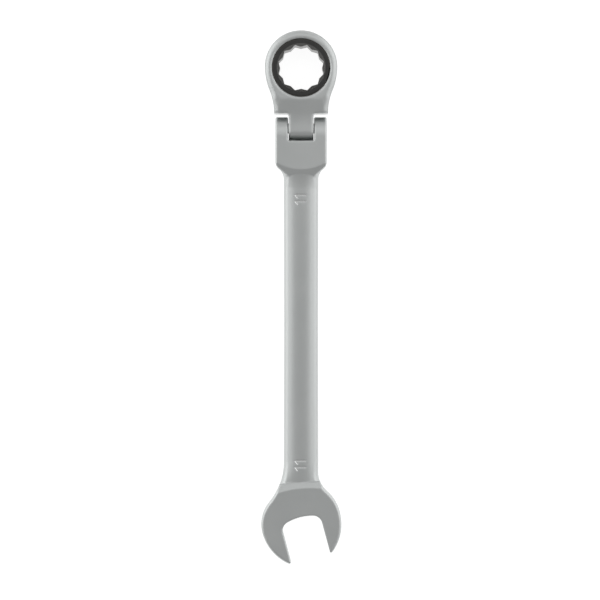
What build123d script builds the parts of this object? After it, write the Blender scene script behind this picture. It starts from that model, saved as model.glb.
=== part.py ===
from build123d import *
import os
from math import asin, atan, cos, degrees, pi, radians, sin, sqrt, tan

# Flex-head ratcheting combination wrench, in millimetres.
# The origin is the centre of the ring, at the middle of its thickness. +Z is the drive axis, and the handle
# runs from the ring towards -Y, so that +Y points from the open jaw to the ring. A "reach" is a distance from
# the drive axis towards the jaw, and a "wall" a radial thickness.

# ---- The nut that both ends fit ----
nut_size = 11.0                  # across the nut's flats
ring_slack = 0.10                # the ring's flats are this much wider apart than the nut's
jaw_slack = 0.06                 # and the open jaw's this much

# ---- Overall layout ----
jaw_reach = 124.4                # to the middle of the open jaw
jaw_angle = 15.0                 # the mouth is turned this far from the handle

# ---- Clearances between pieces ----
running_gap = 0.05               # radial, a shaft or plunger in its hole
gear_gap = 0.08                  # radial and axial, the ring gear in the housing
mesh_gap = 0.03                  # pawl teeth in gear teeth
side_gap = 0.20                  # each side of the tongue, between the ears
floor_gap = 0.18                 # the tongue's round end to the slot floor
shoulder_gap = 0.95              # the neck's shoulder to the tops of the ears
rest_gap = 0.02                  # pieces that lean on each other

# ---- Drive gear: twelve-point ring with ratchet teeth round it ----
tooth_count = 72
tooth_depth = 0.30
tooth_land = 0.12                # width of a tooth's flat tip
flank_angle = 38.0               # each flank to the tooth's middle
gear_wall = 1.15                 # star corners to the tooth roots
collar_wall = 1.21               # star corners to the outside of the front collar
collar_height = 1.85
journal_wall = 0.54              # star corners to the outside of the back journal
journal_height = 0.90
corner_radius = 0.25             # in the twelve corners of the star
lead_in_wall = 0.34              # the cones that guide the nut in are this much wider than the star
lead_in_depth = 0.85

# ---- Ratchet head: housing, neck and tongue ----
head_thickness = 7.8
gear_recess = 0.05               # the gear's end faces lie this far inside the head's
ring_wall = 1.96                 # round the gear's bore
ring_lead = 0.3                  # the ring's outer round is centred this far ahead of the drive axis
mouth_chamfer = 0.20             # at the front of the bore
back_chamfer = 0.15              # at the back opening
head_bevel_width = 1.10          # the bevel round both faces and down their slopes
head_bevel_drop = 0.50
cheek_radius = 15.8              # the bulge that leads from the ring into the neck
neck_length = 4.41               # the bore to the shoulder
neck_overhang = 0.33             # the neck is this much wider than the clevis, each side
face_margin = 0.65               # the ring's flat faces run on this far behind the bore
slope_setback = 2.7              # and slope down to the tongue's, which they meet this far ahead of the hinge
slope_foot_radius = 20.0
tongue_width = 6.8
tongue_inset = 0.10              # the tongue's faces lie this far inside the ears'
tongue_round_rise = 0.3          # its end is round about the hinge, this much over half its thickness
tongue_root_radius = 0.6

# ---- Retaining ring, of square wire ----
wire_size = 0.55
wire_inset = 0.16                # middle of the wire inside the bore's wall
wire_depth = 1.15                # its middle plane below the head's front face
wire_opening = 26.0              # degrees left open between its ends
groove_play = 0.04               # around the wire in both grooves

# ---- Pawl and its spring ----
pawl_angle = 15.0                # its slide leans this far from the radius, so that a driven gear wedges it
pawl_width = 4.6
pawl_depth = 2.9                 # the gear's tips to the pawl's back
pawl_corner_radius = 0.35
pawl_margin = 0.32               # the toothed band stands this much over the pawl, above and below
pawl_travel = 0.50
pocket_play = 0.06               # pawl to pocket, each side and above and below
pawl_spring_diameter = 1.7
pawl_spring_wire = 0.24
pawl_spring_length = 2.6
pawl_spring_turns = 4

# ---- Handle: clevis ----
clevis_width = 14.1
clevis_thickness = 6.2
ear_setback = 3.1                # tops of the ears to the hinge
ear_round = 5.2                  # length of the elliptic round at the tops
clevis_root = 5.7                # slot floor to where the clevis starts to narrow
taper_length = 5.0
taper_radius = 2.3               # convex, where it leaves the clevis
clevis_heel_radius = 13.0        # the flats end in an arc of this radius
clevis_heel_drop = 2.3           # which bulges this far past the start of the taper
clevis_heel_slope = 30.0         # and a ramp of this slope leads down from it
ear_edge_radius = 0.5
slot_corner_radius = 0.4
slot_chamfer = 0.22
pin_diameter = 2.8
pin_recess = 0.15                # the pin's ends lie this far inside the ears' outer faces
pin_chamfer = 0.25

# ---- Handle: shank ----
shank_width = 9.45               # where it meets the flares at both ends
shank_waist = 9.30               # half way along
shank_thickness = 4.2            # over the crowned middle
shank_edge_radius = 1.5
clevis_root_thickness = 5.9      # where the shank runs into the clevis
clevis_root_edge_radius = 2.3
jaw_root_edge_radius = 1.8       # and where it runs into the jaw
root_run = 2.2                   # the shank thickens this far past the taper
flare_share = 0.75               # of the short flare's radius, as far as the shank follows it
flare_step = 0.04                # and the jaw's plate stands this far out from it there
root_steps = 6                   # sections over each end

# ---- Handle: open jaw ----
tine_width = 5.47                # each side of the mouth
jaw_thickness = 5.44
tine_radius = 13.0               # outside of each tine
tine_length = 10.1               # middle of the jaw to the tips
tip_radius = 0.35                # of the tips, on the mouth's side
long_back_drop = 2.0             # the back behind the long tine is rounder than the jaw's half width by this
short_back_rise = 0.10           # and the one behind the short tine flatter by this
long_flare_radius = 18.0         # blends from those backs into the shank
short_flare_radius = 7.0
throat_depth = 1.46              # middle of the jaw to the bottom of the throat
throat_radius = 14.0
throat_corner_radius = 2.6
jaw_edge_radius = 0.7            # outside
mouth_edge_radius = 0.2
jaw_heel_radius = 28.5           # the flats end in an arc of this radius
jaw_heel_rise = 9.5              # middle of the jaw to that arc
jaw_heel_slope = 22.0            # of the ramp from it down to the shank
jaw_foot_rise = 10.9             # middle of the jaw to the foot of the ramp
jaw_foot_angle = 4.2             # which is turned this far from square

# ---- Friction plunger in the slot floor, and its spring ----
plunger_diameter = 2.3
plunger_length = 3.0
plunger_nose = 1.6               # radius of its domed nose
friction_spring_wire = 0.36
friction_spring_diameter = 2.1
friction_spring_length = 3.4
friction_spring_turns = 4

# ---- Selecting: positions this close together count as the same ----
close_by = 0.01

# ---- Worked out from the sizes above ----
ring_flats = nut_size + ring_slack
star_radius = ring_flats / sqrt(3)
gear_root_radius = star_radius + gear_wall
gear_tip_radius = gear_root_radius + tooth_depth
bore_radius = gear_tip_radius + gear_gap
ring_radius = bore_radius + ring_wall
journal_radius = star_radius + journal_wall
head_half = head_thickness / 2
gear_half = head_half - gear_recess
band_top = gear_half - collar_height
band_bottom = journal_height - gear_half
wire_radius = bore_radius - wire_inset
wire_height = head_half - wire_depth
groove_half = wire_size / 2 + groove_play

clevis_half = clevis_thickness / 2
tongue_half = clevis_half - tongue_inset
tongue_round = tongue_half + tongue_round_rise
neck_half = clevis_width / 2 + neck_overhang
shoulder_reach = bore_radius + neck_length
ear_top = shoulder_reach + shoulder_gap
hinge_reach = ear_top + ear_setback
tongue_end = hinge_reach + tongue_round
slot_floor = tongue_end + floor_gap
slot_width = tongue_width + 2 * side_gap
taper_start = slot_floor + clevis_root
clevis_heel_middle = clevis_heel_radius - taper_start - clevis_heel_drop

mouth_half = (nut_size + jaw_slack) / 2
jaw_half_width = mouth_half + tine_width
jaw_half = jaw_thickness / 2
long_back_radius = jaw_half_width - long_back_drop
short_back_radius = jaw_half_width + short_back_rise
tine_middle = jaw_half_width - tine_radius

pawl_height = band_top - band_bottom - 2 * pawl_margin
pawl_middle = (band_top + band_bottom) / 2
pocket_depth = pawl_depth + pawl_travel + pocket_play
pocket_width = pawl_width + 2 * pocket_play
pawl_spring_seat = pawl_depth + rest_gap + pawl_spring_length
plunger_end = tongue_end + rest_gap + plunger_length
friction_spring_seat = plunger_end + rest_gap + friction_spring_length

pawl_plane = Plane((0, -gear_tip_radius, pawl_middle)).rotated((0, 0, -pawl_angle))
jaw_plane = Plane((0, -jaw_reach, 0)).rotated((0, 0, jaw_angle))


def ogee(drop, run):
    """Angle and summed radii of two tangent arcs that step sideways by drop over run and end parallel."""
    turn = 2 * atan(drop / run)
    return degrees(turn), run / sin(turn)


def tooth_outline(grow=0.0):
    """Corners of the toothed band, with every face moved outwards by grow."""
    flank = radians(flank_angle)
    tip_half = tooth_land / 2 + grow * (1 - sin(flank)) / cos(flank)
    root_half = tip_half + tooth_depth * tan(flank)
    tip = gear_tip_radius + grow
    root = gear_root_radius + grow
    corners = []
    for tooth in range(tooth_count):
        middle = 2 * pi * tooth / tooth_count
        for radius, side in ((root, -root_half), (tip, -tip_half), (tip, tip_half), (root, root_half)):
            across = cos(middle) * radius - sin(middle) * side
            upward = sin(middle) * radius + cos(middle) * side
            corners.append((across, upward))
    return corners


def coil_spring(base, length, diameter, wire, turns):
    """Coil spring of six-sided wire that stands on the plane base and is length long over its wire."""
    rise = length - wire
    foot = base.offset(wire / 2).origin
    with BuildPart() as spring:
        with BuildLine() as coil:
            Helix(rise / turns, rise, (diameter - wire) / 2, center=foot, direction=base.z_dir)
        with BuildSketch(Plane(origin=coil.line @ 0, z_dir=coil.line % 0)):
            RegularPolygon(wire / 2, 6)
        sweep(path=coil.line)
    return spring.part


def heel_disc(middle, radius, half, slope):
    """Flat disc about middle whose rim falls away at slope, above and below alike."""
    rim = radius + half / tan(radians(slope))
    with BuildPart() as disc:
        with BuildSketch(Plane(origin=middle, x_dir=(1, 0, 0), z_dir=(0, -1, 0))):
            with BuildLine():
                Polyline((0, -half), (radius, -half), (rim, 0), (radius, half), (0, half), close=True)
            make_face()
        revolve(axis=Axis(middle, (0, 0, 1)))
    return disc.part


def flare(run, radius):
    """How far an arc of this radius spreads sideways over a run along the handle."""
    return radius - sqrt(radius**2 - max(run, 0) ** 2)


def flare_start(side, back, back_radius, radius):
    """Reach at which an arc of this radius leaves the shank's side to touch a round back of the jaw."""
    middle = jaw_plane.from_local_coords((back, 0, 0))
    across = radius + shank_width / 2 - side * middle.X
    return -middle.Y - sqrt((radius + back_radius) ** 2 - across**2)


def shank_section(reach, left, right, thickness, edge_radius):
    """Face of the crowned shank across the handle: two shallow arcs joined by two tight ones."""
    half = thickness / 2
    middle = (right - left) / 2
    side = (left + right) / 2 - edge_radius
    crown = (side**2 + half**2 - edge_radius**2) / (2 * (half - edge_radius))
    spread = degrees(atan(side / (crown - half)))
    with BuildSketch(Plane.XZ.offset(reach)) as section:
        with BuildLine():
            CenterArc((middle, half - crown), crown, 90 - spread, 2 * spread)
            CenterArc((middle + side, 0), edge_radius, spread - 90, 180 - 2 * spread)
            CenterArc((middle, crown - half), crown, -90 - spread, 2 * spread)
            CenterArc((middle - side, 0), edge_radius, 90 + spread, 180 - 2 * spread)
        make_face()
    return section.sketch


def rim_edges(builder):
    """Edges that run along an upright wall of the part, and not up it."""
    walls = builder.faces().filter_by(lambda face: abs(face.normal_at().Z) < close_by)
    edges = ShapeList(edge for wall in walls for edge in wall.edges())
    return edges.filter_by(Axis.Z, reverse=True)


def level_edges(builder, height):
    """Edges whose middle lies at this height, above or below the middle plane."""
    return builder.edges().filter_by(lambda edge: abs(abs(edge.center().Z) - height) < close_by)


def level_faces(builder, side):
    """Flat faces that look mostly up (side 1) or mostly down (side -1), from the jaw's end to the ring's."""
    faces = builder.faces().filter_by(GeomType.PLANE)
    return faces.filter_by(lambda face: side * face.normal_at().Z > 0.5).sort_by(Axis.Y)


# ---- Ratchet head ----
neck_turn, neck_radii = ogee(ring_radius - neck_half, ring_lead + shoulder_reach)
slope_start = bore_radius + face_margin
slope_foot = hinge_reach - slope_setback
round_turn = degrees(asin(tongue_half / tongue_round))

with BuildPart() as ratchet_head:
    # The outline runs straight on past the shoulder, where only the tongue is left of it in the end.
    with BuildSketch():
        with BuildLine():
            crown = CenterArc((0, ring_lead), ring_radius, 90, -90)
            cheek = JernArc(crown @ 1, (0, -1), cheek_radius, -neck_turn)
            waist = JernArc(cheek @ 1, cheek % 1, neck_radii - cheek_radius, neck_turn)
            Polyline(waist @ 1, (neck_half, -2 * hinge_reach), (0, -2 * hinge_reach))
            mirror(about=Plane.YZ)
        make_face()
    extrude(amount=head_half, both=True)
    # Seen from the side, the ring faces slope down to the level tongue, whose end is round.
    with BuildSketch(Plane.YZ):
        with BuildLine():
            face = Line((2 * ring_radius, head_half), (-slope_start, head_half))
            tip = CenterArc((-hinge_reach, 0), tongue_round, 180, -round_turn)
            FilletPolyline(face @ 1, (-slope_foot, tongue_half), tip @ 1, radius=slope_foot_radius)
            Line(face @ 0, (2 * ring_radius, 0))
            mirror(about=Plane.XZ)
        make_face()
    extrude(amount=2 * ring_radius, both=True, mode=Mode.INTERSECT)
    # A bevel runs round each ring face, and then down its slope.
    for side in (1, -1):
        for order in (-1, -2):
            face = level_faces(ratchet_head, side)[order]
            rim = face.edges().filter_by(Axis.X, reverse=True)
            chamfer(rim, head_bevel_width, head_bevel_drop, reference=face)
    with BuildSketch():
        with BuildLine():
            shoulder = FilletPolyline(
                (2 * neck_half, -shoulder_reach),
                (tongue_width / 2, -shoulder_reach),
                (tongue_width / 2, -3 * hinge_reach),
                radius=tongue_root_radius,
            )
            Polyline(shoulder @ 1, (2 * neck_half, -3 * hinge_reach), shoulder @ 0)
        make_face()
        mirror(about=Plane.YZ)
    extrude(amount=head_half, both=True, mode=Mode.SUBTRACT)
    # The stepped bore: front mouth, groove for the retaining ring, gear bore, ledge and back opening.
    with BuildSketch(Plane.XZ):
        with BuildLine():
            Polyline(
                (0, head_half),
                (bore_radius + mouth_chamfer, head_half),
                (bore_radius, head_half - mouth_chamfer),
                (bore_radius, band_bottom - gear_gap),
                (journal_radius + gear_gap, band_bottom - gear_gap),
                (journal_radius + gear_gap, back_chamfer - head_half),
                (journal_radius + gear_gap + back_chamfer, -head_half),
                (0, -head_half),
                close=True,
            )
        make_face()
        with Locations((0, wire_height)):
            Rectangle(wire_radius + groove_half, 2 * groove_half, align=(Align.MIN, Align.CENTER))
    revolve(axis=Axis.Z, mode=Mode.SUBTRACT)
    # The pawl's pocket opens into the bore, and a blind hole behind it holds the spring.
    with BuildSketch(pawl_plane):
        with Locations((0, -pocket_depth)):
            Rectangle(pocket_width, pocket_depth + pawl_width, align=(Align.CENTER, Align.MIN))
    extrude(amount=pawl_height / 2 + pocket_play, both=True, mode=Mode.SUBTRACT)
    with BuildSketch(Plane(pawl_plane.from_local_coords((0, -pocket_depth, 0)), z_dir=-pawl_plane.y_dir)):
        Circle(pawl_spring_diameter / 2 + running_gap)
    extrude(amount=pawl_spring_seat + rest_gap - pocket_depth, mode=Mode.SUBTRACT)
    # Hole for the hinge pin.
    with BuildSketch(Plane.YZ):
        with Locations((-hinge_reach, 0)):
            Circle(pin_diameter / 2 + running_gap)
    extrude(amount=tongue_width, both=True, mode=Mode.SUBTRACT)

# ---- Drive gear ----
with BuildPart() as drive_gear:
    with BuildSketch(Plane.XY.offset(band_bottom)):
        with BuildLine():
            Polyline(*tooth_outline(), close=True)
        make_face()
    extrude(amount=band_top - band_bottom)
    with BuildSketch(Plane.XY.offset(band_top)):
        Circle(star_radius + collar_wall)
    extrude(amount=collar_height)
    with BuildSketch(Plane.XY.offset(-gear_half)):
        Circle(journal_radius)
    extrude(amount=journal_height)
    # Two hexagons half a corner apart make the twelve-point star.
    with BuildSketch() as star:
        RegularPolygon(star_radius, 6, rotation=15)
        RegularPolygon(star_radius, 6, rotation=45)
        fillet(star.vertices().group_by(SortBy.DISTANCE)[-1], corner_radius)
    extrude(amount=gear_half, both=True, mode=Mode.SUBTRACT)
    # Cones at both faces guide the nut in, and a groove round the collar takes the retaining ring.
    with BuildSketch(Plane.XZ):
        with BuildLine():
            Polyline(
                (0, gear_half),
                (star_radius + lead_in_wall, gear_half),
                (star_radius + lead_in_wall - lead_in_depth, gear_half - lead_in_depth),
                (0, gear_half - lead_in_depth),
                close=True,
            )
        make_face()
        mirror(about=Plane.XZ)
        with Locations((wire_radius - groove_half, wire_height)):
            Rectangle(wire_size + gear_wall, 2 * groove_half, align=(Align.MIN, Align.CENTER))
    revolve(axis=Axis.Z, mode=Mode.SUBTRACT)

# ---- Retaining ring ----
with BuildPart() as retaining_ring:
    with BuildSketch(Plane.XZ):
        with Locations((wire_radius, wire_height)):
            Rectangle(wire_size, wire_size)
    revolve(axis=Axis.Z, revolution_arc=360 - wire_opening)

# ---- Pawl, cut to the gear's own teeth ----
with BuildPart() as pawl:
    with BuildSketch(pawl_plane):
        with Locations((0, -pawl_depth)):
            Rectangle(pawl_width, pawl_depth + pawl_width, align=(Align.CENTER, Align.MIN))
    extrude(amount=pawl_height / 2, both=True)
    back = pawl.faces().sort_by(Axis.Y)[0]
    fillet(back.edges().filter_by(Axis.Z), pawl_corner_radius)
    with BuildSketch():
        with BuildLine():
            Polyline(*tooth_outline(mesh_gap), close=True)
        make_face()
    extrude(amount=head_half, both=True, mode=Mode.SUBTRACT)

pawl_spring = coil_spring(
    Plane(pawl_plane.from_local_coords((0, -pawl_spring_seat, 0)), z_dir=pawl_plane.y_dir),
    pawl_spring_length,
    pawl_spring_diameter,
    pawl_spring_wire,
    pawl_spring_turns,
)

# ---- Handle: the clevis end, a plate with a ramp at its heel ----
taper_turn, taper_radii = ogee((clevis_width - shank_width) / 2, taper_length)
taper_end = taper_start + taper_length
back_bend_radius = taper_radii - taper_radius

with BuildPart() as clevis_end:
    with BuildSketch():
        with BuildLine():
            flank = Line((clevis_width / 2, -ear_top), (clevis_width / 2, -taper_start))
            bend = JernArc(flank @ 1, (0, -1), taper_radius, -taper_turn)
            PolarLine(bend @ 1, (bend @ 1).X, -90 - taper_turn, length_mode=LengthMode.HORIZONTAL)
            Line(flank @ 0, (0, -ear_top))
            mirror(about=Plane.YZ)
        make_face()
    extrude(amount=clevis_half, both=True)
    # Seen from the side, the ears end in half an ellipse.
    with BuildSketch(Plane.YZ):
        with Locations((-ear_top - ear_round, 0)):
            Rectangle(2 * ear_round, 2 * clevis_thickness, align=(Align.MIN, Align.CENTER))
            Ellipse(ear_round, clevis_half, mode=Mode.SUBTRACT)
    extrude(amount=clevis_width, both=True, mode=Mode.SUBTRACT)
    outer = rim_edges(clevis_end).filter_by(lambda edge: abs(edge.center().X) > shank_width / 4)
    fillet(outer, ear_edge_radius)
    heel = heel_disc((0, clevis_heel_middle, 0), clevis_heel_radius, clevis_half, clevis_heel_slope)
    add(heel, mode=Mode.INTERSECT)

# ---- Handle: the open jaw, a plate of the same kind ----
tine_sweep = degrees(atan(tine_length / sqrt(tine_radius**2 - tine_length**2)))
throat_side = throat_depth - throat_radius + sqrt(throat_radius**2 - mouth_half**2)
jaw_heel_drop = jaw_heel_radius - jaw_heel_rise
jaw_heel_middle = (tan(radians(jaw_angle / 2)) * jaw_heel_drop, -jaw_reach - jaw_heel_drop, 0)

with BuildSketch(jaw_plane) as jaw_blank:
    with BuildLine():
        short_tine = CenterArc((tine_middle, 0), tine_radius, 0, -tine_sweep)
        long_tine = CenterArc((-tine_middle, 0), tine_radius, 180, tine_sweep)
        long_back = CenterArc((long_back_radius - jaw_half_width, 0), long_back_radius, 180, -90)
        short_back = CenterArc((jaw_half_width - short_back_radius, 0), short_back_radius, 0, 90)
        Line(long_back @ 1, short_back @ 1)
        Line(short_tine @ 1, long_tine @ 1)
    make_face()
    Rectangle(shank_width, 2 * jaw_half_width, rotation=-jaw_angle, align=(Align.CENTER, Align.MIN))
    for side, flare_radius in ((0, long_flare_radius), (-1, short_flare_radius)):
        backs = jaw_blank.vertices().filter_by(lambda corner: 0.1 < corner.Y < short_back_radius)
        fillet(backs.sort_by(Axis.X)[side], flare_radius)

# The mouth has a shallow round throat.
with BuildSketch(jaw_plane) as jaw_outline:
    add(jaw_blank.sketch_local)
    with BuildLine():
        throat = ThreePointArc((-mouth_half, throat_side), (0, throat_depth), (mouth_half, throat_side))
        Polyline(throat @ 1, (mouth_half, -tine_radius), (-mouth_half, -tine_radius), throat @ 0)
    make_face(mode=Mode.SUBTRACT)
    throat_corners = jaw_outline.vertices().filter_by(
        lambda corner: abs(abs(corner.X) - mouth_half) < close_by and abs(corner.Y - throat_side) < close_by
    )
    fillet(throat_corners, throat_corner_radius)
    tips = jaw_outline.vertices().group_by(Axis.Y)[0]
    fillet(tips.filter_by(lambda corner: abs(corner.X) < mouth_half + close_by), tip_radius)

with BuildPart() as jaw_end:
    extrude(jaw_blank.sketch, amount=jaw_half, both=True)
    fillet(rim_edges(jaw_end).filter_by(GeomType.CIRCLE), jaw_edge_radius)
    extrude(jaw_outline.sketch, amount=jaw_half, both=True, mode=Mode.INTERSECT)
    mouth_edges = level_edges(jaw_end, jaw_half).filter_by(
        lambda edge: jaw_plane.to_local_coords(edge.center()).Y < throat_depth + close_by
    )
    fillet(mouth_edges, mouth_edge_radius)
    add(heel_disc(jaw_heel_middle, jaw_heel_radius, jaw_half, jaw_heel_slope), mode=Mode.INTERSECT)
    # The ramp stops at a straight line across the shank.
    foot_direction = Vector(0, 1, 0).rotate(Axis.Z, jaw_foot_angle)
    split(bisect_by=Plane((0, jaw_foot_rise - jaw_reach, 0), z_dir=foot_direction), keep=Keep.BOTTOM)

# ---- Handle: the shank joins the two ends ----
# At both ends it widens with the outline, and towards the clevis it thickens too.
root_start = taper_end - back_bend_radius * sin(radians(taper_turn))
root_end = taper_end + root_run
long_flare_start = flare_start(-1, long_back_radius - jaw_half_width, long_back_radius, long_flare_radius)
short_flare_start = flare_start(1, jaw_half_width - short_back_radius, short_back_radius, short_flare_radius)
flare_end = short_flare_start + flare_share * short_flare_radius
clevis_sections = []
jaw_sections = []
for step in range(root_steps + 1):
    share = step / root_steps
    reach = root_end + (root_start - root_end) * share
    side = shank_width / 2 + flare(taper_end - reach, back_bend_radius)
    thickness = shank_thickness + (clevis_root_thickness - shank_thickness) * share**2
    edge_radius = shank_edge_radius + (clevis_root_edge_radius - shank_edge_radius) * share
    clevis_sections.append(shank_section(reach, side, side, thickness, edge_radius))
    reach = long_flare_start + (flare_end - long_flare_start) * share
    left = shank_width / 2 + flare(reach - long_flare_start, long_flare_radius) - flare_step * share
    right = shank_width / 2 + flare(reach - short_flare_start, short_flare_radius) - flare_step * share
    edge_radius = shank_edge_radius + (jaw_root_edge_radius - shank_edge_radius) * share
    jaw_sections.append(shank_section(reach, left, right, shank_thickness, edge_radius))

with BuildPart() as handle:
    waist = shank_waist / 2
    halfway = (root_end + long_flare_start) / 2
    middle = shank_section(halfway, waist, waist, shank_thickness, shank_edge_radius)
    loft([clevis_sections[0], middle, jaw_sections[0]], ruled=True)
    loft(clevis_sections)
    loft(jaw_sections)
    add(clevis_end.part)
    add(jaw_end.part)
    # The slot that takes the tongue, with its lips broken.
    with BuildSketch() as slot:
        with Locations((0, -slot_floor)):
            Rectangle(slot_width, slot_floor, align=(Align.CENTER, Align.MIN))
        fillet(slot.vertices().group_by(Axis.Y)[0], slot_corner_radius)
    extrude(amount=clevis_thickness, both=True, mode=Mode.SUBTRACT)
    lips = level_edges(handle, clevis_half).filter_by(
        lambda edge: abs(edge.center().X) < slot_width / 2 + close_by
        and edge.center().Y > -slot_floor - close_by
    )
    chamfer(lips, slot_chamfer)
    with BuildSketch(Plane.YZ):
        with Locations((-hinge_reach, 0)):
            Circle(pin_diameter / 2)
    extrude(amount=clevis_width, both=True, mode=Mode.SUBTRACT)
    # Blind hole in the slot floor for the friction plunger and its spring.
    with BuildSketch(Plane.XZ.offset(slot_floor)):
        Circle(plunger_diameter / 2 + running_gap)
    extrude(amount=friction_spring_seat + rest_gap - slot_floor, mode=Mode.SUBTRACT)

# ---- Hinge pin ----
with BuildPart() as hinge_pin:
    with BuildSketch(Plane.YZ):
        with Locations((-hinge_reach, 0)):
            Circle(pin_diameter / 2)
    extrude(amount=clevis_width / 2 - pin_recess, both=True)
    chamfer(hinge_pin.edges().filter_by(GeomType.CIRCLE), pin_chamfer)

# ---- Friction plunger and its spring ----
nose_tip = -tongue_end - rest_gap
nose_drop = plunger_nose - sqrt(plunger_nose**2 - plunger_diameter**2 / 4)

with BuildPart() as friction_plunger:
    with BuildSketch():
        with BuildLine():
            nose = RadiusArc((0, nose_tip), (plunger_diameter / 2, nose_tip - nose_drop), plunger_nose)
            Polyline(nose @ 1, (plunger_diameter / 2, -plunger_end), (0, -plunger_end), nose @ 0)
        make_face()
    revolve(axis=Axis.Y)

friction_spring = coil_spring(
    Plane((0, -friction_spring_seat, 0), z_dir=(0, 1, 0)),
    friction_spring_length,
    friction_spring_diameter,
    friction_spring_wire,
    friction_spring_turns,
)

# ---- Write every piece ----
os.makedirs("parts", exist_ok=True)
for name, piece in {
    "handle": handle.part,
    "hinge_pin": hinge_pin.part,
    "friction_plunger": friction_plunger.part,
    "friction_spring": friction_spring,
    "ratchet_head": ratchet_head.part,
    "drive_gear": drive_gear.part,
    "retaining_ring": retaining_ring.part,
    "pawl": pawl.part,
    "pawl_spring": pawl_spring,
}.items():
    piece.label = name
    export_step(piece, f"parts/{name}.step")
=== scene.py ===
import math

import bmesh
import bpy
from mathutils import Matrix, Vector
from mathutils.bvhtree import BVHTree
from mathutils.geometry import barycentric_transform


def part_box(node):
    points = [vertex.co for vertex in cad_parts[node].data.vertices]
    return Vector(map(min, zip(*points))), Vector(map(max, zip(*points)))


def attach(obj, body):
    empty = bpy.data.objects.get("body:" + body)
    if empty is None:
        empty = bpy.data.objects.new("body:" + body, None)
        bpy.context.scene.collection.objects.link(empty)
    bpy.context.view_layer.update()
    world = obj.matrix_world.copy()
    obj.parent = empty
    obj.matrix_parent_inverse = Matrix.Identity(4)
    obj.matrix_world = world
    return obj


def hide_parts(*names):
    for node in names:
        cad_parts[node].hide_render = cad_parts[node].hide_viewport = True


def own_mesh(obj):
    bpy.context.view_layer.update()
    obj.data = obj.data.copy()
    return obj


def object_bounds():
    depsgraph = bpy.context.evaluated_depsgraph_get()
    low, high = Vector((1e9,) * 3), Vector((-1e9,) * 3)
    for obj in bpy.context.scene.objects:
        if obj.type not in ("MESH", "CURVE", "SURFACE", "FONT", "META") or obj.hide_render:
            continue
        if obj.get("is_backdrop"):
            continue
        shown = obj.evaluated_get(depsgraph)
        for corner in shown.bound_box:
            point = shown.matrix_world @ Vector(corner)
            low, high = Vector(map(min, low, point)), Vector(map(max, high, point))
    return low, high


# Flex-head ratcheting combination wrench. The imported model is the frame: its origin is the centre of the
# ring, +Z is the drive axis and +Y points from the open jaw to the ring. Lengths are in metres.
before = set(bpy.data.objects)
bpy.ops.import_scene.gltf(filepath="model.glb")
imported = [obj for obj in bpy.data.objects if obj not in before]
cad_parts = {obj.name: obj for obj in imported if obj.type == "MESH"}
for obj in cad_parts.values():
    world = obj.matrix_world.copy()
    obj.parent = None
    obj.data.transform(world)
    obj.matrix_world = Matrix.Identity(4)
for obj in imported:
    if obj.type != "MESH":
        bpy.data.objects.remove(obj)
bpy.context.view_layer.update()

MM = 0.001

# ---- Size number, stamped twice into the handle ----
DIGIT_HEIGHT = 3.0 * MM
DIGIT_PITCH = 1.76 * MM            # from one digit to the next
DIGIT_FLAG = (0.72 * MM, 0.86 * MM)  # how far the flag of a 1 falls and how far it stands out
DIGIT_SHIFT = -0.15 * MM           # middle of the digits beside the handle's middle
GROOVE_WIDTH = 0.44 * MM
GROOVE_DEPTH = 0.13 * MM
STEM_SHARE = 0.6                   # a stem's groove against a flag's
NUMBER_PLACES = (22.3 * MM, 95.15 * MM)  # from the tops of the ears to the middle of each number
STROKE_POINTS = 9                  # along each stroke, so that it can follow the crown
DROP_HEIGHT = 8.0 * MM             # where strokes start to fall from, above every surface
GROOVE_SLOT = 1                    # material of the grooves' faces on the handle

# ---- Copies of CAD nodes ----
MERGE_DISTANCE = 0.001 * MM
UNIT_CORNERS = (Vector((1, 0, 0)), Vector((0, 1, 0)), Vector((0, 0, 1)))

# ---- Creases of the forgings, which roll off over this much ----
EDGE_SAMPLES = 8                   # rays that feel for a near crease
HANDLE_EDGE = 0.6 * MM
HEAD_EDGE = 1.2 * MM

# ---- Gear ----
RUBBED_RADIUS = 6.75 * MM          # nuts have rubbed the black thin inside this
RUBBED_FADE = 0.2 * MM

# ---- Stage ----
CAMERA_DISTANCE = 0.65
CAMERA_AIM = Vector((-0.3, -63.5, 0.0)) * MM
VIEW_WIDTH = 164.8 * MM            # what the camera takes in at the drive axis' origin
FLOOR_SIZE = 3.0
FLOOR_DROP = 0.02 * MM             # the floor lies this far under the wrench
FLOOR_GREY = 0.30
FLOOR_GLOW = 0.91                  # added for eyes and reflections only, so that it gives no light
BOX_DISTANCE = 0.9
BOXES = (                          # name, turn, near, far, length, radiance, shift
    ("left_box", 180, 32, 80, 1.3, 0.86, 0.38),
    ("right_box", 0, 28, 78, 1.3, 0.72, 0.38),
    ("head_box", 90, 18, 39, 0.5, 0.38, 0.0),
)
SKY_TURN = 0.15                    # Y, to each side of overhead, over which the sky's level changes
SKY_AT_JAW, SKY_AT_RING = 0.405, 0.585
HORIZON_HEIGHT, HORIZON_GLOW = 0.40, 0.42
SEEING_RAYS = ("Is Camera Ray", "Is Glossy Ray", "Is Transmission Ray")


class Wire:
    """An output of a node. Sums written with it add Math nodes to its tree."""

    def __init__(self, tree, socket):
        self.tree = tree
        self.socket = socket

    def sum(self, operation, first, second):
        return self.tree.node("ShaderNodeMath", {"operation": operation}, {0: first, 1: second})

    def __add__(self, other):
        return self.sum("ADD", self, other)

    def __radd__(self, other):
        return self.sum("ADD", other, self)

    def __sub__(self, other):
        return self.sum("SUBTRACT", self, other)

    def __rsub__(self, other):
        return self.sum("SUBTRACT", other, self)

    def __mul__(self, other):
        return self.sum("MULTIPLY", self, other)

    def __rmul__(self, other):
        return self.sum("MULTIPLY", other, self)


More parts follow.
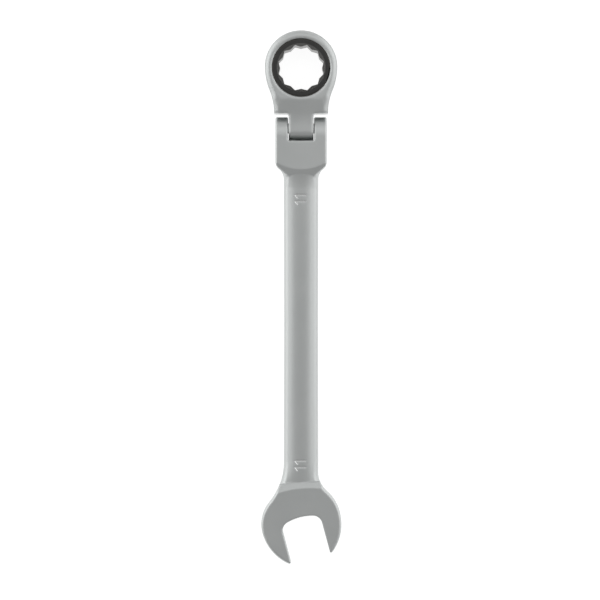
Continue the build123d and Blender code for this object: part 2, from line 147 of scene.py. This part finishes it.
class Tree:
    """A node tree, in which node() adds a node of any type and returns one of its outputs."""

    def __init__(self, tree):
        self.tree = tree
        self.tree.nodes.clear()

    def node(self, kind, settings=None, values=None, output=0):
        node = self.tree.nodes.new(kind)
        for name, value in (settings or {}).items():
            setattr(node, name, value)
        for name, value in (values or {}).items():
            if isinstance(value, Wire):
                self.tree.links.new(value.socket, node.inputs[name])
            else:
                node.inputs[name].default_value = value
        return Wire(self, node.outputs[output]) if node.outputs else node


class Finish(Tree):
    """A material for metal, made of patterns in the piece's own space."""

    def __init__(self, name):
        self.material = bpy.data.materials.new(name)
        self.material.use_nodes = True
        super().__init__(self.material.node_tree)
        self.place = self.node("ShaderNodeTexCoord", output="Object")

    def noise(self, size, detail):
        """Noise from 0 to 1 whose blotches are about size across."""
        scale = Vector((1, 1, 1)) / size
        place = self.node("ShaderNodeMapping", {}, {"Vector": self.place, "Scale": scale})
        return self.node("ShaderNodeTexNoise", {}, {"Vector": place, "Scale": 1.0, "Detail": detail})

    def mix(self, mask, first, second):
        """A colour from first to second as mask goes from 0 to 1."""
        colours = {"Factor": mask, "A": first, "B": second}
        node = self.tree.nodes.new("ShaderNodeMix")
        node.data_type = "RGBA"
        sockets = {s.identifier: s for s in node.inputs}
        for name, value in colours.items():
            socket = sockets["Factor_Float" if name == "Factor" else name + "_Color"]
            if isinstance(value, Wire):
                self.tree.links.new(value.socket, socket)
            else:
                socket.default_value = value
        return Wire(self, node.outputs["Result"])

    def bump(self, height, depth, edge=0.0):
        """Normal of a surface whose height from 0 to 1 stands for depth. Its edges roll off over edge."""
        values = {"Height": height, "Distance": depth, "Strength": 1.0}
        if edge:
            values["Normal"] = self.node("ShaderNodeBevel", {"samples": EDGE_SAMPLES}, {"Radius": edge})
        return self.node("ShaderNodeBump", {}, values)

    def metal(self, colour, roughness, normal, metallic=1.0):
        values = {"Base Color": colour, "Roughness": roughness, "Normal": normal, "Metallic": metallic}
        shader = self.node("ShaderNodeBsdfPrincipled", {}, values)
        self.node("ShaderNodeOutputMaterial", {}, {"Surface": shader})
        return self.material


def satin_chrome(name, edge):
    """Chrome plate over a forging blasted with fine beads, whose creases roll off over edge."""
    finish = Finish(name)
    cloud = finish.noise(9 * MM, 3)
    grain = finish.noise(0.16 * MM, 2)
    colour = finish.mix(cloud, (0.545, 0.565, 0.56, 1), (0.60, 0.615, 0.61, 1))
    roughness = 0.30 + 0.07 * cloud + 0.06 * grain
    return finish.metal(colour, roughness, finish.bump(grain, 0.012 * MM, edge))


def struck_chrome():
    """The same plate in the walls of the struck number, which the blasting left smoother (lower roughness),
    painted in a lighter colour than the plate as a highlight.
    """
    finish = Finish("struck_chrome")
    grain = finish.noise(0.12 * MM, 2)
    # lighter than the plate's colour: a painted highlight on the groove walls
    colour = finish.mix(grain, (0.72, 0.73, 0.725, 1), (0.80, 0.81, 0.805, 1))
    return finish.metal(colour, 0.22 + 0.08 * grain, finish.bump(grain, 0.006 * MM))


def black_oxide():
    """Black oxide on machined steel."""
    finish = Finish("black_oxide")
    cloud = finish.noise(2.5 * MM, 3)
    grain = finish.noise(0.2 * MM, 2)
    across = finish.node("ShaderNodeVectorMath", {"operation": "MULTIPLY"}, {0: finish.place, 1: (1, 1, 0)})
    radius = finish.node("ShaderNodeVectorMath", {"operation": "LENGTH"}, {0: across}, output="Value")
    fade = {0: radius, 1: RUBBED_RADIUS, 2: RUBBED_RADIUS - RUBBED_FADE, 3: 0.0, 4: 1.0}
    rubbed = finish.node("ShaderNodeMapRange", {}, fade)
    black = finish.mix(cloud, (0.050, 0.050, 0.049, 1), (0.072, 0.072, 0.070, 1))
    colour = finish.mix(rubbed, black, (0.175, 0.173, 0.168, 1))
    roughness = 0.26 + 0.10 * cloud
    return finish.metal(colour, roughness, finish.bump(grain, 0.008 * MM), 0.9)


def turned_steel():
    """Ground steel of the pin and the plunger."""
    finish = Finish("turned_steel")
    cloud = finish.noise(1.2 * MM, 3)
    grain = finish.noise(0.08 * MM, 2)
    colour = finish.mix(cloud, (0.42, 0.42, 0.42, 1), (0.50, 0.50, 0.49, 1))
    return finish.metal(colour, 0.24 + 0.1 * cloud, finish.bump(grain, 0.004 * MM))


def spring_wire():
    """Drawn spring steel with a film of oil."""
    finish = Finish("spring_wire")
    cloud = finish.noise(0.9 * MM, 3)
    colour = finish.mix(cloud, (0.10, 0.095, 0.09, 1), (0.17, 0.16, 0.15, 1))
    return finish.metal(colour, 0.28 + 0.12 * cloud, finish.bump(cloud, 0.01 * MM))


def merged_copy(node, name):
    """A copy of a CAD node's mesh with its loose triangles joined, as a new object at the origin."""
    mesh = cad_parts[node].data.copy()
    shell = bmesh.new()
    shell.from_mesh(mesh)
    bmesh.ops.remove_doubles(shell, verts=shell.verts, dist=MERGE_DISTANCE)
    shell.to_mesh(mesh)
    shell.free()
    mesh.materials.clear()
    copy = bpy.data.objects.new(name, mesh)
    bpy.context.scene.collection.objects.link(copy)
    return copy


class Shape(Tree):
    """A Geometry Nodes tree whose inputs are the sizes of what it makes."""

    KINDS = {float: "NodeSocketFloat", int: "NodeSocketInt", bpy.types.Material: "NodeSocketMaterial"}

    def __init__(self, name, sizes):
        group = bpy.data.node_groups.new(name, "GeometryNodeTree")
        super().__init__(group)
        self.sizes = sizes
        self.keys = {}
        group.interface.new_socket("Geometry", in_out="INPUT", socket_type="NodeSocketGeometry")
        for label, value in sizes.items():
            socket = group.interface.new_socket(label, in_out="INPUT", socket_type=self.KINDS[type(value)])
            self.keys[label] = socket.identifier
        group.interface.new_socket("Geometry", in_out="OUTPUT", socket_type="NodeSocketGeometry")
        entry = group.nodes.new("NodeGroupInput")
        self.given = {socket.name: Wire(self, socket) for socket in entry.outputs if socket.name}

    def at(self, x=0.0, y=0.0, z=0.0):
        return self.node("ShaderNodeCombineXYZ", {}, {"X": x, "Y": y, "Z": z})

    def line(self, start, end):
        return self.node("GeometryNodeCurvePrimitiveLine", {"mode": "POINTS"}, {"Start": start, "End": end})

    def join(self, *parts):
        node = self.tree.nodes.new("GeometryNodeJoinGeometry")
        for part in parts:
            self.tree.links.new(part.socket, node.inputs[0])
        return Wire(self, node.outputs[0])

    def copies(self, part, count, start, step):
        """Copies of a part, evenly spaced from start."""
        row = self.node("GeometryNodeMeshLine", {}, {"Count": count, "Start Location": start, "Offset": step})
        placed = self.node("GeometryNodeInstanceOnPoints", {}, {"Points": row, "Instance": part})
        return self.node("GeometryNodeRealizeInstances", {}, {"Geometry": placed})

    def painted(self, part, material):
        return self.node("GeometryNodeSetMaterial", {}, {"Geometry": part, "Material": material})

    def applied(self, piece, result):
        """Runs the tree on a piece and leaves it a plain mesh."""
        result = self.node("GeometryNodeRealizeInstances", {}, {"Geometry": result})
        self.node("NodeGroupOutput", {}, {"Geometry": result})
        modifier = piece.modifiers.new(self.tree.name, "NODES")
        modifier.node_group = self.tree
        for label, value in self.sizes.items():
            modifier[self.keys[label]] = value
        bpy.context.view_layer.update()
        evaluated = piece.evaluated_get(bpy.context.evaluated_depsgraph_get())
        mesh = bpy.data.meshes.new_from_object(evaluated)
        piece.modifiers.clear()
        piece.data = mesh


def stamp_numbers(handle, plate, groove):
    """Cuts the size number 11 into both ends of the shank as V grooves that follow its crown."""
    top = ear_tops.y
    first, second = NUMBER_PLACES
    tree = Shape("size_number", {
        "Digit height": DIGIT_HEIGHT,
        "Digit pitch": DIGIT_PITCH,
        "Digit shift": DIGIT_SHIFT,
        "Flag fall": DIGIT_FLAG[0],
        "Flag reach": DIGIT_FLAG[1],
        "Groove width": GROOVE_WIDTH,
        "Groove depth": GROOVE_DEPTH,
        "Stem share": STEM_SHARE,
        "First number": top - first,
        "Number spacing": second - first,
        "Plate": plate,
        "Groove": groove,
    })
    size = tree.given
    half = 0.5 * size["Digit height"]
    head = tree.at(x=0 - half)
    stem = tree.line(head, tree.at(x=half))
    stem = tree.node("GeometryNodeSetCurveRadius", {}, {"Curve": stem, "Radius": size["Stem share"]})
    flag = tree.line(head, tree.at(x=size["Flag fall"] - half, y=0 - size["Flag reach"]))
    start = tree.at(y=0.5 * size["Digit pitch"])
    number = tree.copies(tree.join(stem, flag), 2, start, tree.at(y=0 - size["Digit pitch"]))
    place = tree.at(x=size["Digit shift"], y=size["First number"])
    strokes = tree.copies(number, 2, place, tree.at(y=0 - size["Number spacing"]))
    strokes = tree.node("GeometryNodeResampleCurve", {}, {"Curve": strokes, "Count": STROKE_POINTS})
    # Each stroke is dropped on to the crowned surface from above.
    raised = {0: tree.node("GeometryNodeInputPosition"), 1: (0, 0, DROP_HEIGHT)}
    above = tree.node("ShaderNodeVectorMath", {"operation": "ADD"}, raised)
    drop = {
        "Target Geometry": size["Geometry"],
        "Source Position": above,
        "Ray Direction": (0, 0, -1),
        "Ray Length": 2 * DROP_HEIGHT,
    }
    landed = tree.node("GeometryNodeRaycast", {}, drop, output="Hit Position")
    strokes = tree.node("GeometryNodeSetPosition", {}, {"Geometry": strokes, "Position": landed})
    strokes = tree.node("GeometryNodeSetCurveNormal", {"mode": "Z_UP"}, {"Curve": strokes})
    depth = size["Groove depth"]
    section = {"Width": size["Groove width"], "Bottom Height": depth, "Top Height": depth}
    section = tree.node("GeometryNodeCurvePrimitiveQuadrilateral", {"mode": "KITE"}, section)
    cutter = {"Curve": strokes, "Profile Curve": section, "Fill Caps": True}
    cutter = tree.painted(tree.node("GeometryNodeCurveToMesh", {}, cutter), size["Groove"])
    body = tree.painted(size["Geometry"], size["Plate"])
    cut = {"Mesh 1": body, "Mesh 2": cutter, "Self Intersection": True}
    settings = {"operation": "DIFFERENCE", "solver": "EXACT"}
    tree.applied(handle, tree.node("GeometryNodeMeshBoolean", settings, cut))


def take_normals(piece, node):
    """Gives a reworked copy of a CAD node that node's exact normals. The faces of grooves stay flat."""
    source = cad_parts[node].data
    source.calc_loop_triangles()
    corners = [corner.co.copy() for corner in source.vertices]
    triangles = [tuple(t.vertices) for t in source.loop_triangles]
    loops = [tuple(t.loops) for t in source.loop_triangles]
    nearest = BVHTree.FromPolygons(corners, triangles)
    mesh = piece.data
    normals = [Vector()] * len(mesh.loops)
    for face in mesh.polygons:
        found = nearest.find_nearest(face.center)[2]
        ends = [corners[i] for i in triangles[found]]
        given = [source.corner_normals[i].vector for i in loops[found]]
        for i in face.loop_indices:
            if face.material_index == GROOVE_SLOT:
                normals[i] = face.normal.copy()
                continue
            spot = mesh.vertices[mesh.loops[i].vertex_index].co
            shares = barycentric_transform(spot, *ends, *UNIT_CORNERS)
            blended = sum((normal * share for normal, share in zip(given, shares)), Vector())
            normals[i] = blended.normalized()
    mesh.shade_smooth()
    mesh.normals_split_custom_set(normals)


def pressed_spring(node, name, body):
    """A copy of a coil spring's node in spring wire, with that node's normals, carried by body in place of
    the hidden node."""
    spring = merged_copy(node, name)
    spring.data.materials.append(wire)
    take_normals(spring, node)
    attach(spring, body)
    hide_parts(node)
    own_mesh(spring)


def soft_box(name, turn, near, far, length, radiance, shift):
    """Box light over the wrench. It stands at turn degrees round the vertical from +X and reaches from near
    to far degrees off the vertical. It is moved along +Y by shift and equally bright all over."""
    tilt = math.radians((near + far) / 2)
    across = Vector((math.cos(math.radians(turn)), math.sin(math.radians(turn)), 0.0))
    toward = across * math.sin(tilt) + Vector((0, 0, math.cos(tilt)))
    width = 2 * BOX_DISTANCE * math.tan(math.radians(far - near) / 2)
    light = bpy.data.lights.new(name, "AREA")
    light.shape = "RECTANGLE"
    light.size, light.size_y = length, width
    light.energy = radiance * math.pi * length * width
    lamp = bpy.data.objects.new(name, light)
    bpy.context.scene.collection.objects.link(lamp)
    lamp.location = CAMERA_AIM + toward * BOX_DISTANCE + Vector((0, shift, 0))
    lamp.rotation_euler = toward.to_track_quat("Z", "Y").to_euler()


def stage():
    """Pale floor under the wrench, pale sky, soft boxes and the camera."""
    low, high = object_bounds()
    bpy.ops.mesh.primitive_plane_add(size=FLOOR_SIZE, location=(0, CAMERA_AIM.y, low.z - FLOOR_DROP))
    floor = bpy.context.object
    floor.name = "floor"
    material = bpy.data.materials.new("pale_floor")
    material.use_nodes = True
    tree = Tree(material.node_tree)
    seen = sum(tree.node("ShaderNodeLightPath", output=name) for name in SEEING_RAYS)
    matte = tree.node("ShaderNodeBsdfDiffuse", {}, {"Color": (FLOOR_GREY, FLOOR_GREY, FLOOR_GREY, 1)})
    glow = tree.node("ShaderNodeEmission", {}, {"Color": (1, 1, 1, 1), "Strength": seen * FLOOR_GLOW})
    surface = tree.node("ShaderNodeAddShader", {}, {0: matte, 1: glow})
    tree.node("ShaderNodeOutputMaterial", {}, {"Surface": surface})
    floor.data.materials.append(material)
    floor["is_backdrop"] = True

    world = bpy.data.worlds.new("pale_sky")
    bpy.context.scene.world = world
    world.use_nodes = True
    tree = Tree(world.node_tree)
    direction = tree.node("ShaderNodeTexCoord", output="Generated")
    height = tree.node("ShaderNodeSeparateXYZ", {}, {"Vector": direction}, output="Z")
    along = tree.node("ShaderNodeSeparateXYZ", {}, {"Vector": direction}, output="Y")
    change = {0: along, 1: -SKY_TURN, 2: SKY_TURN, 3: SKY_AT_JAW, 4: SKY_AT_RING}
    overhead = tree.node("ShaderNodeMapRange", {}, change)
    fall = {0: height, 1: 0.0, 2: HORIZON_HEIGHT, 3: HORIZON_GLOW, 4: 0.0}
    horizon = tree.node("ShaderNodeMapRange", {}, fall)
    camera = tree.node("ShaderNodeLightPath", output="Is Camera Ray")
    level = (overhead + horizon) * (1 - camera) + camera
    sky = tree.node("ShaderNodeBackground", {}, {"Color": (1, 1, 1, 1), "Strength": level})
    tree.node("ShaderNodeOutputWorld", {}, {"Surface": sky})

    for box in BOXES:
        soft_box(*box)

    data = bpy.data.cameras.new("camera")
    data.sensor_width = 36.0
    data.lens = data.sensor_width * CAMERA_DISTANCE / VIEW_WIDTH
    data.clip_start, data.clip_end = 0.01, 10.0
    camera = bpy.data.objects.new("camera", data)
    bpy.context.scene.collection.objects.link(camera)
    camera.location = CAMERA_AIM + Vector((0, 0, CAMERA_DISTANCE))
    bpy.context.scene.camera = camera
    bpy.context.scene.view_settings.view_transform = "Standard"


def dress_node(node, material):
    """Gives a carried-over CAD node its material."""
    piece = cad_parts[node]
    piece.data.materials.clear()
    piece.data.materials.append(material)


chrome = satin_chrome("satin_chrome", HANDLE_EDGE)
head_chrome = satin_chrome("satin_chrome_head", HEAD_EDGE)
# groove walls of the number: smoother plate with a painted highlight in its colour
struck = struck_chrome()
oxide = black_oxide()
steel = turned_steel()
wire = spring_wire()

ear_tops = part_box("handle")[1]
forging = merged_copy("handle", "handle_forging")
stamp_numbers(forging, chrome, struck)
take_normals(forging, "handle")
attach(forging, "handle")
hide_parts("handle")
dress_node("ratchet_head", head_chrome)
dress_node("drive_gear", oxide)
dress_node("pawl", oxide)
dress_node("retaining_ring", wire)
dress_node("hinge_pin", steel)
dress_node("friction_plunger", steel)
pressed_spring("pawl_spring", "pawl_spring_coil", "head")
dress_node("friction_spring", wire)
stage()
